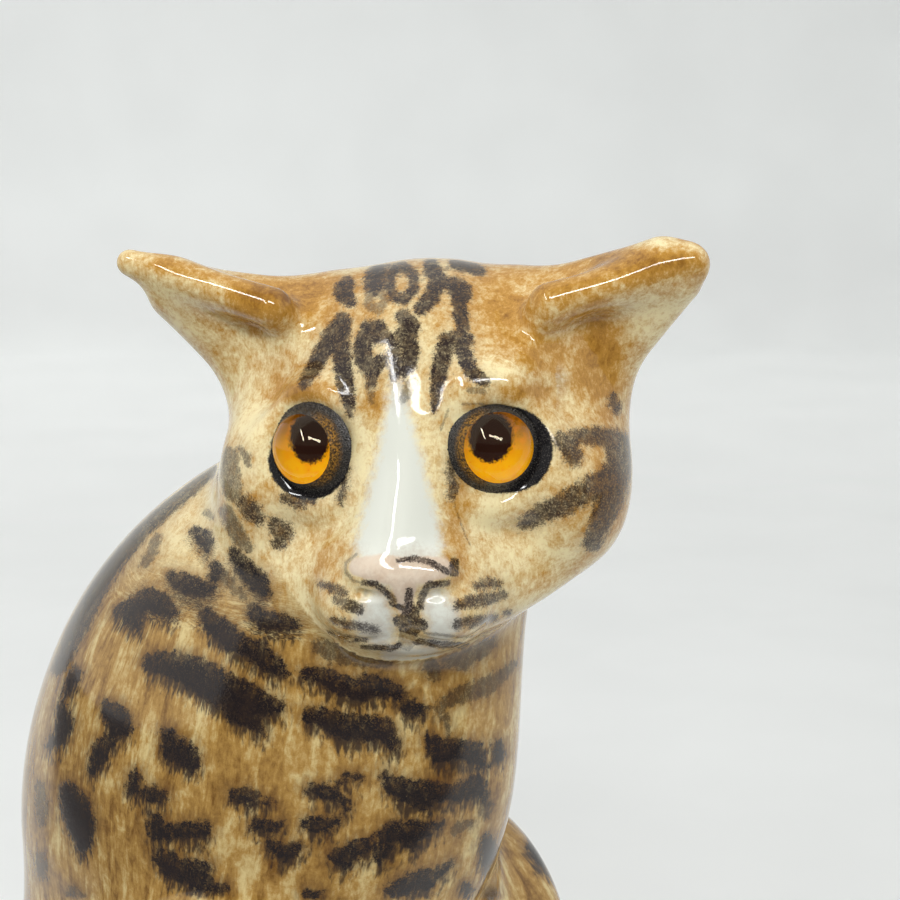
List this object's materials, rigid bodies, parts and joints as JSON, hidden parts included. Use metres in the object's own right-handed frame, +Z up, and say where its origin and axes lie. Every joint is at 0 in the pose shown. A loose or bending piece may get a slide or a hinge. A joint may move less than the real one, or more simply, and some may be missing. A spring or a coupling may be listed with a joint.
{
  "type": "ceramic cat figure",
  "caption": "Seated cat in glazed, hand-painted ceramic, head turned to look at the viewer, ears laid out sideways, tail round its side, with amber glass cabochon eyes.",
  "frame": {"origin": "centre of the bounding box's underside, on the surface that the figure stands on", "axes": "+Z up the seated figure, -Y the way the face looks, +X to the cat's own left"},
  "size_m": [0.1933, 0.1541, 0.2748],
  "materials": {
    "painted_glaze": "clear high-gloss glaze over a hand-painted mottled cream, ochre and black-brown coat",
    "eye_glass": "polished glass dome, painted amber with a dark pupil behind"
  },
  "bodies": {
    "root": {"cat_figure": "painted_glaze", "eye_left": "eye_glass", "eye_right": "eye_glass"}
  },
  "joints": []
}
